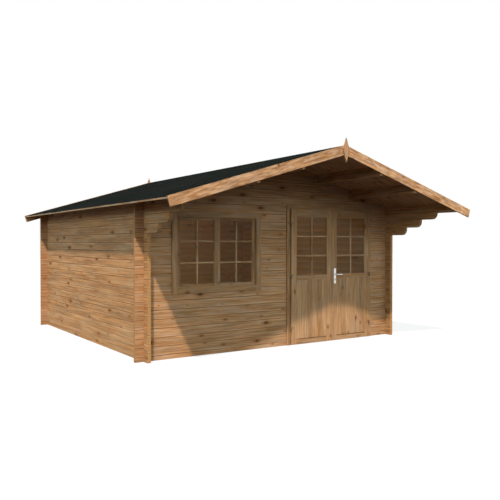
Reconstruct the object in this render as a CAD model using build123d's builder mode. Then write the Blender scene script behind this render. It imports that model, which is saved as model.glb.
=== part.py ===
"""Garden log cabin with a deep front canopy, a four-light window and a pair of glazed doors.

Units are millimetres. +X is to the right of someone who faces the front, +Y runs to the back and
+Z is up. The origin is at ground level, in the middle of the roof's footprint.
"""
from build123d import *
from math import cos, radians, sin, sqrt, tan
import os

os.makedirs("parts", exist_ok=True)

# ---------------------------------------------------------------- driving dimensions
# logs
log_h = 114.0            # height of one course
log_t = 44.0             # thickness of a log
log_end = 115.0          # what a log projects past the crossing wall
v_joint = 5.0            # depth of the V at each joint between courses
wall_w = 4250.0          # outer face to outer face, across the front
wall_d = 4250.0          # outer face to outer face, front to back
full_courses = 17        # whole courses of a side wall, below its wall plate
plain_courses = 14       # those that end at the corner, below the stepped ones
plate_h = 93.0           # outer height of the wall plate, which is cut to the roof slope

# canopy and roof
pitch = 16.7             # degrees
side_overhang = 325.0
front_overhang = 1330.0  # front wall to the face of the barge boards
rear_overhang = 250.0
bracket_reach = (420.0, 714.0, 1010.0)  # how far each stepped log runs past the front wall
bracket_round = 88.0     # radius at the lower corner of a stepped end
board_t = 18.0           # roof boards
felt_t = 3.0
cap_t = 2.0              # ridge strip of felt
cap_w = 150.0            # its width on each slope
felt_gap = 6.0           # between the two sheets of felt, under the ridge strip
barge_w = 117.0
barge_t = 20.0
barge_proud = 5.0        # barge above the felt
eave_strip_h = 28.0
eave_strip_t = 15.0
purlin_t = 44.0
purlin_h = 122.0
purlin_offsets = (-1300.0, -650.0, 0.0, 650.0, 1300.0)
finial_h = 304.0
finial_w = 108.0
finial_t = 20.0
finial_rise = 85.0       # tip above the ridge
finial_belly = 170.0     # widest place above its lower point
finial_hollow = 5.0      # how far each upper side curves in

# floor
joist_h = 45.0
joist_t = 45.0
joist_count = 8
floor_t = 19.0
floor_gap = 5.0          # all round the boards

# window
window_x = -1056.0       # middle of the window
window_joint = 7         # the front joint that it stands on
frame_depth = 64.0       # depth of window and door frames, from the wall's outer face
trim_t = 18.0
stop_w = 13.0            # how far a stop stands in from its frame
pane_w = 517.0           # glazed width of one sash
pane_h = 847.0
sash_stile = 43.0
sash_rail = 26.0
sash_t = 38.0
sash_set = 17.0          # sash behind the wall's outer face
sash_fit = 0.5           # all round a sash
window_jamb = 20.0       # thickness of the frame at the sides and top
window_sill = 49.5
window_trim_low = 80.0   # width of the bottom trim
window_trim_w = 76.0
window_reveal = 6.0      # of the frame, between the trim and the sashes
glass_t = 4.0

# doors
door_x = 910.0           # middle of the doorway
door_joint = 17          # the front joint at the head of the doorway
leaf_w = 762.0
leaf_t = 36.0
leaf_proud = 38.0        # face of a leaf in front of the wall's outer face
leaf_low = 5.0           # above the ground
leaf_gap = 5.0           # at the hinge side, the head and the stops
meeting_gap = 6.0
meeting_bevel = 3.0      # back of the meeting edge is planed off, so that the leaf swings clear
leaf_stile = 95.0
leaf_top_rail = 115.0
mid_rail_top = 1000.0    # above the ground
mid_rail_h = 65.0
low_rail_top = 60.0      # above the ground
panel_t = 20.0
door_jamb = 28.0
door_head = 20.0
door_trim_w = 58.0
door_reveal = 2.0        # of the frame, between the trim and the leaves
hinge_inset = 230.0      # middle of the top and bottom hinges from the leaf's ends
hinge_h = 64.0
knuckle_r = 7.0
pin_r = 4.0
pin_fit = 0.05
pin_proud = 18.0         # hinge axis in front of the leaf's face
strap_w = 38.0
strap_t = 2.0
strap_inset = 2.0        # strap from the leaf's hanging edge
hinge_arm_w = 10.0       # from the hinge axis to the strap
pin_short = 2.0          # top of a pin below the top of its hinge
pin_bracket_t = 6.0
pin_bracket_set = 4.0    # middle of the bracket from the hinge axis
hinge_split = 1.0        # between the two knuckles
notch_fit = 1.0          # round a bracket, in the trim

# lock and lever handles
backset = 58.0           # spindle from the meeting edge
lever_z = 1000.0
lever_len = 105.0
lever_r = 8.0
lever_stand = 45.0       # middle of a lever from its plate
lock_plate_w = 38.0
lock_plate_t = 3.0
lock_plate_low = 862.0
lock_plate_top = 1090.0
spindle_hole = 11.0      # radius of the hole through the leaf

# ---------------------------------------------------------------- worked-out places
slope = tan(radians(pitch))
slope_cos = cos(radians(pitch))
slope_sin = sin(radians(pitch))
half_w = wall_w / 2
half_roof_w = half_w + side_overhang
barge_y = (front_overhang + wall_d + rear_overhang) / 2
front_y = front_overhang - barge_y
rear_y = front_y + wall_d
roof_y = barge_y - barge_t

felt_top = barge_proud
board_top = felt_top + felt_t
board_low = board_top + board_t
under_eaves = full_courses * log_h + plate_h
ridge_z = under_eaves + board_low / slope_cos + half_w * slope
roof_run = half_roof_w / slope_cos

groove_bar = v_joint * sqrt(2)
end_joints = [(course + 0.5) * log_h for course in range(int(ridge_z / log_h) + 1)]
side_joints = [course * log_h for course in range(1, full_courses + 1)]
corner_x = (-half_w + log_t / 2, half_w - log_t / 2)
corner_y = (front_y + log_t / 2, rear_y - log_t / 2)
head_z = (door_joint + 0.5) * log_h

window_low = (window_joint + 0.5) * log_h
sash_w = pane_w + 2 * sash_stile
sash_h = pane_h + 2 * sash_rail
sash_low = window_low + window_sill + sash_fit
sash_top = sash_low + sash_h
window_top = sash_top + sash_fit + window_jamb
window_half = sash_w + 1.5 * sash_fit + window_jamb

jamb_half = meeting_gap / 2 + leaf_w + leaf_gap
door_half = jamb_half + door_jamb
leaf_top = head_z - door_head - leaf_gap
leaf_front = front_y - leaf_proud
leaf_back = leaf_front + leaf_t
glass_top = leaf_top - leaf_top_rail
stop_front = leaf_back + leaf_gap
frame_back = front_y + frame_depth
floor_top = joist_h + floor_t
hinge_y = leaf_front - pin_proud
hinge_heights = (leaf_low + hinge_inset, (leaf_low + leaf_top) / 2, leaf_top - hinge_inset)
knuckle_h = (hinge_h - hinge_split) / 2
spindle_x = door_x + meeting_gap / 2 + backset


def write_piece(piece, label):
    """Label a finished piece and write it to its own STEP file."""
    piece.part.label = label
    export_step(piece.part, f"parts/{label}.step")


def slope_point(side, along, depth):
    """Point (x, z) at a distance down the slope from the ridge and a depth below the roof line."""
    return (
        side * (along * slope_cos - depth * slope_sin),
        ridge_z - along * slope_sin - depth * slope_cos,
    )


def slope_slab(side, start, end, top, low, y_low, y_high):
    """Flat layer of one roof slope; start None cuts it plumb on the ridge line."""
    top_start = top * slope if start is None else start
    low_start = low * slope if start is None else start
    corners = [
        slope_point(side, top_start, top),
        slope_point(side, end, top),
        slope_point(side, end, low),
        slope_point(side, low_start, low),
    ]
    with BuildPart() as slab:
        with BuildSketch(Plane.XZ.offset(-y_high)):
            with BuildLine():
                Polyline(*corners, close=True)
            make_face()
        extrude(amount=y_high - y_low)
    return slab


def under_roof(x):
    """Height of the underside of the roof boards."""
    return ridge_z - board_low / slope_cos - abs(x) * slope


# ---------------------------------------------------------------- roof space, cut from what rises into it
with BuildPart() as above_boards:
    with BuildSketch(Plane.XZ.offset(-barge_y)):
        with BuildLine():
            Polyline(
                (-half_roof_w, under_roof(half_roof_w)),
                (0, under_roof(0)),
                (half_roof_w, under_roof(half_roof_w)),
                (half_roof_w, ridge_z + log_h),
                (-half_roof_w, ridge_z + log_h),
                close=True,
            )
        make_face()
    extrude(amount=2 * barge_y)

# ---------------------------------------------------------------- purlins
with BuildPart() as purlins:
    with Locations(*[(x, 0, under_roof(x) - purlin_h) for x in purlin_offsets]):
        Box(
            purlin_t,
            2 * roof_y,
            purlin_h + purlin_t,
            align=(Align.CENTER, Align.CENTER, Align.MIN),
        )
    add(above_boards.part, mode=Mode.SUBTRACT)
write_piece(purlins, "purlins")


# ---------------------------------------------------------------- log walls
def end_wall_piece(corners, y_low, cutters=()):
    """Piece of the front or rear wall from its elevation, grooved and housed for the side logs."""
    with BuildPart() as piece:
        with BuildSketch(Plane.XZ.offset(-y_low - log_t)):
            with BuildLine():
                Polyline(*corners, close=True)
            make_face()
        extrude(amount=log_t)
        with Locations(*[Location((0, y, z), (45, 0, 0)) for z in end_joints
                         for y in (y_low, y_low + log_t)]):
            Box(wall_w + 3 * log_end, groove_bar, groove_bar, mode=Mode.SUBTRACT)
        with Locations(*[(x, y_low + log_t / 2, z) for z in end_joints for x in corner_x]):
            Box(log_t, log_t, log_h / 2, mode=Mode.SUBTRACT)
        for cutter in cutters:
            add(cutter.part, mode=Mode.SUBTRACT)
    return piece


def side_wall_piece(corners, side, housings, rounded=(), cutters=()):
    """Piece of a side wall from its elevation in Y and Z, housed for the front and rear logs."""
    with BuildPart() as piece:
        with BuildSketch(Plane.YZ.offset(side * (half_w - log_t / 2) - log_t / 2)) as elevation:
            with BuildLine():
                Polyline(*corners, close=True)
            make_face()
            for y, z in rounded:
                fillet(elevation.vertices().sort_by_distance((y, z))[0], bracket_round)
        extrude(amount=log_t)
        with Locations(*[Location((side * x, 0, z), (0, 45, 0)) for z in side_joints
                         for x in (half_w, half_w - log_t)]):
            Box(groove_bar, 2 * barge_y, groove_bar, mode=Mode.SUBTRACT)
        with Locations(*[(side * (half_w - log_t / 2), y, z) for z in housings for y in corner_y]):
            Box(log_t, log_t, log_h / 2, mode=Mode.SUBTRACT)
        for cutter in cutters:
            add(cutter.part, mode=Mode.SUBTRACT)
    return piece


def box_corners(low_a, high_a, low_z, high_z):
    """Corners of an upright rectangle in a wall's elevation."""
    return [(low_a, low_z), (high_a, low_z), (high_a, high_z), (low_a, high_z)]


log_left = -half_w - log_end
log_right = half_w + log_end
log_front = front_y - log_end
log_rear = rear_y + log_end
door_left = door_x - door_half
door_right = door_x + door_half
window_left = window_x - window_half
window_right = window_x + window_half
lintel_low = (door_joint - 0.5) * log_h

write_piece(
    end_wall_piece(box_corners(log_left, door_left, 0, window_low), front_y),
    "front_wall_under_window",
)
write_piece(
    end_wall_piece(box_corners(log_left, window_left, window_low, lintel_low), front_y),
    "front_wall_left_of_window",
)
write_piece(
    end_wall_piece(box_corners(window_right, door_left, window_low, lintel_low), front_y),
    "front_wall_right_of_window",
)
write_piece(
    end_wall_piece(box_corners(door_right, log_right, 0, head_z), front_y, (above_boards,)),
    "front_wall_right_of_door",
)

# The log over the window is whole, and hangs down between the piers to the window's head.
over_window = [
    (log_left, lintel_low),
    (window_left, lintel_low),
    (window_left, window_top),
    (window_right, window_top),
    (window_right, lintel_low),
    (door_left, lintel_low),
    (door_left, head_z),
    (log_left, head_z),
]
write_piece(end_wall_piece(over_window, front_y, (above_boards,)), "front_wall_over_window")

rear_outline = box_corners(log_left, log_right, 0, head_z)
write_piece(end_wall_piece(rear_outline, rear_y - log_t, (above_boards,)), "rear_wall")

gable_outline = box_corners(log_t - half_w, half_w - log_t, head_z, ridge_z)
for name, y_low in (("front_gable", front_y), ("rear_gable", rear_y - log_t)):
    write_piece(end_wall_piece(gable_outline, y_low, (above_boards, purlins)), name)

stepped_z = [course * log_h for course in range(plain_courses, full_courses + 1)]
stepped_ends = [front_y - reach for reach in bracket_reach]
for side, name in ((-1, "left"), (1, "right")):
    plain = side_wall_piece(
        box_corners(log_front, log_rear, 0, stepped_z[0]),
        side,
        [course * log_h for course in range(plain_courses + 1)],
    )
    write_piece(plain, f"{name}_wall")

    # Three courses, each of which runs further forward than the one below.
    outline = [(log_rear, stepped_z[-1]), (log_rear, stepped_z[0])]
    for step, y in enumerate(stepped_ends):
        outline += [(y, stepped_z[step]), (y, stepped_z[step + 1])]
    brackets = side_wall_piece(
        outline,
        side,
        stepped_z,
        rounded=list(zip(stepped_ends, stepped_z)),
    )
    write_piece(brackets, f"{name}_bracket_logs")

    plate = side_wall_piece(
        box_corners(-roof_y, roof_y, stepped_z[-1], ridge_z),
        side,
        [stepped_z[-1]],
        cutters=(above_boards,),
    )
    write_piece(plate, f"{name}_wall_plate")

# ---------------------------------------------------------------- roof
strip_start = roof_run - eave_strip_t
for side, name in ((-1, "left"), (1, "right")):
    boards = slope_slab(side, None, strip_start, board_top, board_low, -roof_y, roof_y)
    write_piece(boards, f"{name}_roof_boards")

    with BuildPart() as barges:
        add(slope_slab(side, None, roof_run, 0, barge_w, -barge_y, -roof_y).part)
        add(slope_slab(side, None, roof_run, 0, barge_w, roof_y, barge_y).part)
    write_piece(barges, f"{name}_barge_boards")

with BuildPart() as felt_sheets:
    for side in (-1, 1):
        add(slope_slab(side, felt_gap / 2, roof_run, felt_top, board_top, -roof_y, roof_y).part)
write_piece(felt_sheets, "felt_sheets")

with BuildPart() as ridge_felt:
    for side in (-1, 1):
        add(slope_slab(side, None, cap_w, felt_top - cap_t, felt_top, -roof_y, roof_y).part)
write_piece(ridge_felt, "ridge_felt")

with BuildPart() as eave_strips:
    for side in (-1, 1):
        strip_low = board_top + eave_strip_h
        add(slope_slab(side, strip_start, roof_run, board_top, strip_low, -roof_y, roof_y).part)
write_piece(eave_strips, "eave_strips")

# A finial is a kite with straight lower sides and upper sides that curve in.
finial_top = ridge_z + finial_rise
finial_low = finial_top - finial_h
belly_z = finial_low + finial_belly
with BuildPart() as finials:
    with BuildSketch(Plane.XZ.offset(barge_y), Plane.XZ.offset(-barge_y - finial_t)):
        with BuildLine():
            Polyline((finial_w / 2, belly_z), (0, finial_low), (-finial_w / 2, belly_z))
            for side in (-1, 1):
                SagittaArc((side * finial_w / 2, belly_z), (0, finial_top), side * finial_hollow)
        make_face()
    extrude(amount=finial_t)
write_piece(finials, "finials")

# ---------------------------------------------------------------- floor
inner_half = half_w - log_t
inner_front = front_y + log_t
inner_rear = rear_y - log_t
joist_first = frame_back + joist_t
joist_pitch = (inner_rear - joist_t - joist_first) / (joist_count - 1)
with BuildPart() as floor_joists:
    with Locations(*[(0, joist_first + place * joist_pitch, 0) for place in range(joist_count)]):
        Box(2 * inner_half, joist_t, joist_h, align=(Align.CENTER, Align.CENTER, Align.MIN))
write_piece(floor_joists, "floor_joists")

with BuildPart() as floor_boards:
    with BuildSketch(Plane.XY.offset(joist_h)):
        with BuildLine():
            Polyline(
                *box_corners(
                    floor_gap - inner_half,
                    inner_half - floor_gap,
                    inner_front + floor_gap,
                    inner_rear - floor_gap,
                ),
                close=True,
            )
        make_face()
        with Locations((door_x, front_y)):
            Rectangle(
                2 * (door_half + floor_gap), 2 * (frame_depth + floor_gap), mode=Mode.SUBTRACT
            )
    extrude(amount=floor_t)
write_piece(floor_boards, "floor_boards")

# ---------------------------------------------------------------- window
window_mid = (window_low + window_top) / 2
sash_mid = (sash_low + sash_top) / 2
with BuildPart() as window_frame:
    with BuildSketch(Plane.XZ.offset(-frame_back)):
        with Locations((window_x, window_mid)):
            Rectangle(2 * window_half, window_top - window_low)
        with Locations((window_x, sash_mid)):
            Rectangle(
                2 * (window_half - window_jamb), sash_h + 2 * sash_fit, mode=Mode.SUBTRACT
            )
    extrude(amount=frame_depth)
    with BuildSketch(Plane.XZ.offset(-frame_back)):
        with Locations((window_x, sash_mid)):
            Rectangle(2 * (window_half - window_jamb), sash_h + 2 * sash_fit)
            Rectangle(
                2 * (window_half - window_jamb - stop_w),
                sash_h + 2 * sash_fit - 2 * stop_w,
                mode=Mode.SUBTRACT,
            )
    extrude(amount=frame_depth - sash_set - sash_t - sash_fit)
write_piece(window_frame, "window_frame")

window_hole_half = window_half - window_jamb + window_reveal
hole_low = sash_low - sash_fit - window_reveal
hole_top = sash_top + sash_fit + window_reveal
trim_low = hole_low - window_trim_low
trim_top = hole_top + window_trim_w
with BuildPart() as window_trim:
    with BuildSketch(Plane.XZ.offset(-front_y)):
        with Locations((window_x, (trim_top + trim_low) / 2)):
            Rectangle(2 * (window_hole_half + window_trim_w), trim_top - trim_low)
        with Locations((window_x, (hole_low + hole_top) / 2)):
            Rectangle(2 * window_hole_half, hole_top - hole_low, mode=Mode.SUBTRACT)
    extrude(amount=trim_t)
write_piece(window_trim, "window_trim")

sash_front = front_y + sash_set
glass_mid = sash_front + sash_t / 2
for side, name in ((-1, "left"), (1, "right")):
    with BuildPart() as sash:
        with BuildSketch(Plane.XZ.offset(-sash_front - sash_t)):
            with Locations((window_x + side * (sash_w + sash_fit) / 2, sash_mid)):
                Rectangle(sash_w, sash_h)
                Rectangle(pane_w, pane_h, mode=Mode.SUBTRACT)
        extrude(amount=sash_t)
    write_piece(sash, f"{name}_sash")

with BuildPart() as window_glass:
    with Locations(*[(window_x + side * (sash_w + sash_fit) / 2, glass_mid, sash_mid)
                     for side in (-1, 1)]):
        Box(pane_w, glass_t, pane_h)
write_piece(window_glass, "window_glass")

# ---------------------------------------------------------------- door frame
with BuildPart() as door_frame:
    with BuildSketch(Plane.XZ.offset(-frame_back)):
        with Locations((door_x, head_z / 2)):
            Rectangle(2 * door_half, head_z)
        with Locations((door_x, (head_z - door_head) / 2)):
            Rectangle(2 * jamb_half, head_z - door_head, mode=Mode.SUBTRACT)
    extrude(amount=frame_depth)
    with BuildSketch(Plane.XZ.offset(-frame_back)):
        with Locations((door_x, (head_z - door_head) / 2)):
            Rectangle(2 * jamb_half, head_z - door_head)
        opening_top = head_z - door_head - stop_w
        with Locations((door_x, (floor_top + opening_top) / 2)):
            Rectangle(2 * (jamb_half - stop_w), opening_top - floor_top, mode=Mode.SUBTRACT)
    extrude(amount=frame_back - stop_front)
write_piece(door_frame, "door_frame")

door_hole_half = jamb_half + door_reveal
door_hole_top = head_z - door_head + door_reveal
with BuildPart() as door_trim:
    with BuildSketch(Plane.XZ.offset(-front_y)):
        with Locations((door_x, (door_hole_top + door_trim_w) / 2)):
            Rectangle(2 * (door_hole_half + door_trim_w), door_hole_top + door_trim_w)
        with Locations((door_x, door_hole_top / 2)):
            Rectangle(2 * door_hole_half, door_hole_top, mode=Mode.SUBTRACT)
    extrude(amount=trim_t)
    # The hinge brackets pass through notches in the trim's inner edges.
    notch_t = pin_bracket_t + 2 * notch_fit
    for side in (-1, 1):
        for z in hinge_heights:
            with Locations((door_x + side * (jamb_half + pin_bracket_set), front_y - trim_t / 2,
                            z - hinge_split / 2 - knuckle_h / 2)):
                Box(notch_t, trim_t, knuckle_h + 2 * notch_fit, mode=Mode.SUBTRACT)
write_piece(door_trim, "door_trim")

# ---------------------------------------------------------------- door leaves
for side, name in ((-1, "left"), (1, "right")):
    meeting_x = door_x + side * meeting_gap / 2
    hanging_x = meeting_x + side * leaf_w
    panel_x = (meeting_x + hanging_x) / 2
    light_w = leaf_w - 2 * leaf_stile
    with BuildPart() as leaf:
        with BuildSketch(Plane.XY.offset(leaf_low)):
            with BuildLine():
                Polyline(
                    (hanging_x, leaf_front),
                    (meeting_x, leaf_front),
                    (meeting_x + side * meeting_bevel, leaf_back),
                    (hanging_x, leaf_back),
                    close=True,
                )
            make_face()
        extrude(amount=leaf_top - leaf_low)
        with Locations((panel_x, (leaf_front + leaf_back) / 2, (mid_rail_top + glass_top) / 2)):
            Box(light_w, leaf_t, glass_top - mid_rail_top, mode=Mode.SUBTRACT)
        panel_top = mid_rail_top - mid_rail_h
        recess = (leaf_t - panel_t) / 2
        with Locations(*[(panel_x, y, (low_rail_top + panel_top) / 2)
                         for y in (leaf_front + recess / 2, leaf_back - recess / 2)]):
            Box(light_w, recess, panel_top - low_rail_top, mode=Mode.SUBTRACT)
        if side > 0:
            with Locations(Location((spindle_x, (leaf_front + leaf_back) / 2, lever_z), (90, 0, 0))):
                Cylinder(spindle_hole, 2 * leaf_t, mode=Mode.SUBTRACT)
    write_piece(leaf, f"{name}_door_leaf")

    with BuildPart() as pane:
        with Locations((panel_x, (leaf_front + leaf_back) / 2, (mid_rail_top + glass_top) / 2)):
            Box(light_w, glass_t, glass_top - mid_rail_top)
    write_piece(pane, f"{name}_door_glass")

    # The upper knuckle turns on the pin and carries a strap on the face of the leaf.
    hinge_x = hanging_x + side * leaf_gap
    with BuildPart() as straps:
        for z in hinge_heights:
            with Locations((hinge_x, hinge_y, z + hinge_split / 2 + knuckle_h / 2)):
                Cylinder(knuckle_r, knuckle_h)
            with Locations((hinge_x - side * hinge_arm_w / 2, (hinge_y + leaf_front - strap_t) / 2,
                            z + hinge_split / 2 + knuckle_h / 2)):
                Box(hinge_arm_w, pin_proud + strap_t, knuckle_h)
            with Locations((hanging_x - side * (strap_w / 2 + strap_inset), leaf_front - strap_t / 2,
                            z + hinge_split / 2 + knuckle_h / 2)):
                Box(strap_w, strap_t, knuckle_h)
            with Locations((hinge_x, hinge_y, z)):
                Cylinder(pin_r + pin_fit, 2 * hinge_h, mode=Mode.SUBTRACT)
    write_piece(straps, f"{name}_door_hinges")

# The lower knuckles and the pins stand on brackets screwed to the jambs.
with BuildPart() as hinge_pins:
    for side in (-1, 1):
        pin_x = door_x + side * jamb_half
        for z in hinge_heights:
            with Locations((pin_x, hinge_y, z - hinge_split / 2 - knuckle_h / 2)):
                Cylinder(knuckle_r, knuckle_h)
            with Locations((pin_x, hinge_y, z - pin_short / 2)):
                Cylinder(pin_r, hinge_h - pin_short)
            with Locations((pin_x + side * pin_bracket_set, (hinge_y + front_y) / 2,
                            z - hinge_split / 2 - knuckle_h / 2)):
                Box(pin_bracket_t, front_y - hinge_y, knuckle_h)
write_piece(hinge_pins, "door_hinge_pins")

# ---------------------------------------------------------------- lock plates and levers
plate_mid = (lock_plate_low + lock_plate_top) / 2
with BuildPart() as lock_plates:
    with BuildSketch(Plane.XZ.offset(-leaf_front), Plane.XZ.offset(-leaf_back - lock_plate_t)):
        with Locations((spindle_x, plate_mid)):
            RectangleRounded(lock_plate_w, lock_plate_top - lock_plate_low, lock_plate_w / 4)
        with Locations((spindle_x, lever_z)):
            Circle(lever_r + pin_fit, mode=Mode.SUBTRACT)
    extrude(amount=lock_plate_t)
write_piece(lock_plates, "lock_plates")

lever_front = leaf_front - lock_plate_t - lever_stand
lever_back = leaf_back + lock_plate_t + lever_stand
with BuildPart() as levers:
    with Locations(Location((spindle_x, (lever_front + lever_back) / 2, lever_z), (90, 0, 0))):
        Cylinder(lever_r, lever_back - lever_front)
    for y in (lever_front, lever_back):
        with Locations(Location((spindle_x + lever_len / 2, y, lever_z), (0, 90, 0))):
            Cylinder(lever_r, lever_len)
        with Locations((spindle_x, y, lever_z), (spindle_x + lever_len, y, lever_z)):
            Sphere(lever_r)
write_piece(levers, "lever_handles")
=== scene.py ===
"""Finishes and fine joinery of a garden log cabin, laid over its packed CAD model.

Everything is in metres in the model's own frame: +X is to the right of someone who faces the
front, +Y runs to the back, +Z is up, and the ground is at zero.
"""
import math

import bmesh
import bpy
from mathutils import Matrix, Vector


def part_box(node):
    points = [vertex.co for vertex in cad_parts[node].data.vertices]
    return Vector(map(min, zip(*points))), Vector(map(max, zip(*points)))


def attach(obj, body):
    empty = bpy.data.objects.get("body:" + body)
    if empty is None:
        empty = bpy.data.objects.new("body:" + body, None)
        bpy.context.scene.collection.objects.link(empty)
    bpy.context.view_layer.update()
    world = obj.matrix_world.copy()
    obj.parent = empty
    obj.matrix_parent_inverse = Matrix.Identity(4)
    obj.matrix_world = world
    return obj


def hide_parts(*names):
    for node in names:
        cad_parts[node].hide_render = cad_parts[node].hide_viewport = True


bl_info = {
    "name": "Log Cabin",
    "version": (1, 0, 0),
    "blender": (4, 5, 0),
    "location": "3D View > Sidebar > Cabin",
    "description": "Timber, felt, glass and ironmongery for a garden log cabin",
    "category": "Add Mesh",
}

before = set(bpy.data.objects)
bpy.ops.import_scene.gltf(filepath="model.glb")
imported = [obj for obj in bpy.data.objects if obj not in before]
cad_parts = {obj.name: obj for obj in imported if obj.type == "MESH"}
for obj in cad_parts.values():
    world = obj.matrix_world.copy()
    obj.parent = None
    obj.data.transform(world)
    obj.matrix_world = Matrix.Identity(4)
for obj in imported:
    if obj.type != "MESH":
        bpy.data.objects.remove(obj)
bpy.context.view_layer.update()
AXES = "XYZ"
SIDES = ((-1, "left"), (1, "right"))

# Three stepped logs make up each bracket, so their height gives one course.
BRACKET_LOW, BRACKET_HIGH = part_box("left_bracket_logs")
COURSE = (BRACKET_HIGH.z - BRACKET_LOW.z) / 3


# ---------------------------------------------------------------- sizes and colours
def a_length(name, description, default):
    return bpy.props.FloatProperty(
        name=name, description=description, default=default, unit="LENGTH"
    )


def a_colour(name, description, default):
    return bpy.props.FloatVectorProperty(
        name=name, description=description, default=default, size=3, subtype="COLOR"
    )


def an_angle(name, description, degrees):
    return bpy.props.FloatProperty(
        name=name, description=description, default=math.radians(degrees), subtype="ANGLE"
    )


def a_count(name, description, default, least):
    return bpy.props.IntProperty(name=name, description=description, default=default, min=least)


def a_strength(name, description, default):
    return bpy.props.FloatProperty(name=name, description=description, default=default)


class CabinTimber(bpy.types.PropertyGroup):
    """Timber of the walls, roof and joinery."""

    course: a_length("Course", "Height of one log", COURSE)
    joint: a_length("Joint", "Dark line between two courses", 0.0045)
    log_colour: a_colour("Logs", "Stained softwood of the walls", (0.400, 0.209, 0.0845))
    inside_colour: a_colour("Inside", "Bare softwood inside the room", (0.56, 0.36, 0.156))
    roof_colour: a_colour("Roof boards", "Purlins and roof boards", (0.36, 0.19, 0.080))
    barge_colour: a_colour(
        "Barge boards", "Barge boards at both ends of the roof", (0.445, 0.240, 0.104)
    )
    finial_colour: a_colour("Finials", "Finials at both ends of the ridge", (0.345, 0.178, 0.072))
    eave_colour: a_colour("Eave strips", "Strips under the felt's edge", (0.50, 0.32, 0.165))
    joinery_colour: a_colour(
        "Doors", "Door leaves, their trim and the frames", (0.385, 0.206, 0.083)
    )
    trim_colour: a_colour("Window trim", "Boards round the window", (0.338, 0.182, 0.0735))
    # Painted shade: the sashes are a darker copy of the joinery colour, for shade on them in their
    # recess.
    sash_shaded_colour: a_colour("Sashes", "Window sashes", (0.300, 0.160, 0.066))
    bar_colour: a_colour("Glazing bars", "Bars and beads of the lights", (0.43, 0.255, 0.115))
    floor_colour: a_colour("Floor", "Floor boards and joists", (0.46, 0.29, 0.15))
    drip: a_length("Drip edge", "Chamfer under the window's bottom trim", 0.008)
    eased: a_length("Eased edge", "Arris taken off planed timber", 0.0015)


class CabinRoof(bpy.types.PropertyGroup):
    """Roof boards and felt."""

    board: a_length("Board", "Cover width of a roof board", 0.0905)
    vee: a_length("V joint", "Bevel along a board's edges", 0.003)
    strip: a_length("Eave strip", "Thickness of an eave strip", 0.014)
    strip_drop: a_length("Strip height", "Height of an eave strip", 0.021)
    felt_colour: a_colour("Felt", "Mineral felt", (0.0105, 0.0125, 0.0108))
    lap: a_length("Lap spacing", "Exposed width of a felt strip", 0.90)
    lap_rise: a_length("Lap rise", "Step at the lower edge of a felt strip", 0.0022)
    nail: a_length("Clout nail", "Radius of a felt nail's head", 0.005)
    nail_pitch: a_length("Nail spacing", "Between felt nails", 0.10)


class CabinLights(bpy.types.PropertyGroup):
    """Glazed lights of the window and the doors."""

    bar: a_length("Bar", "Width of a glazing bar", 0.020)
    bar_depth: a_length("Bar depth", "Glazing bar in front of the glass", 0.015)
    bead: a_length("Bead", "Width and depth of a glazing bead", 0.006)
    rows: a_count("Rows", "Panes in a light, bottom to top", 3, 1)
    columns: a_count("Columns", "Panes in a light, side to side", 2, 1)
    tint: a_colour("Tint", "Colour of the glass", (0.90, 0.92, 0.90))


class CabinDoors(bpy.types.PropertyGroup):
    """Door leaves and their ironmongery."""

    boards: a_count("Boards", "Boards across a lower panel", 6, 2)
    set_back: a_length("Set back", "Facing boards behind the stiles", 0.003)
    core: a_length("Core", "Thickness of the panel behind the boards", 0.008)
    foot_gap: a_length("Foot gap", "Gap under the facing boards", 0.023)
    steel: a_colour("Hinges", "Brown coated steel", (0.275, 0.150, 0.064))
    satin: a_colour("Handles", "Satin metal", (0.78, 0.77, 0.75))
    screw: a_length("Screw", "Radius of a screw's head", 0.0035)
    rose: a_length("Rose", "Radius of the collar round a lever's neck", 0.0125)
    key_drop: a_length("Key drop", "Key cylinder below the spindle", 0.072)
    elbow: a_length("Elbow", "Bend of a lever, on its middle line", 0.013)


class CabinStage(bpy.types.PropertyGroup):
    """Camera, light and floor."""

    eye: bpy.props.FloatVectorProperty(
        name="Eye", description="Camera position", size=3, subtype="TRANSLATION",
        default=(-5.271, -8.666, 1.479),
    )
    tilt: an_angle("Tilt", "Camera pitch, 90 degrees being level", 89.31)
    heading: an_angle("Heading", "Camera turn from +Y", -33.725)
    lens: bpy.props.FloatProperty(
        name="Lens", description="Focal length in millimetres on a 36 mm sensor", default=44.49
    )
    key_direction: bpy.props.FloatVectorProperty(
        name="Key light", description="Way in which the key light travels", size=3,
        subtype="DIRECTION", default=(0.399, 0.496, -0.771),
    )
    key: a_strength("Key strength", "Strength of the key light", 4.05)
    softness: an_angle("Softness", "Apparent size of the key light", 1.8)
    fill: a_strength("Fill", "Strength of the light from all round", 0.37)
    ring: a_strength("Ring", "Strength of the soft ring of light above the horizon", 3.15)
    front: a_strength("Front light", "Strength of the broad light on the front", 0.70)
    room: bpy.props.FloatProperty(
        name="Room light", description="Power of the soft light in the room", default=16.0,
        unit="POWER",
    )
    floor_reach: a_length("Floor", "Half width of the floor", 60.0)


GROUPS = {
    "cabin_timber": CabinTimber,
    "cabin_roof": CabinRoof,
    "cabin_lights": CabinLights,
    "cabin_doors": CabinDoors,
    "cabin_stage": CabinStage,
}


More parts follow.
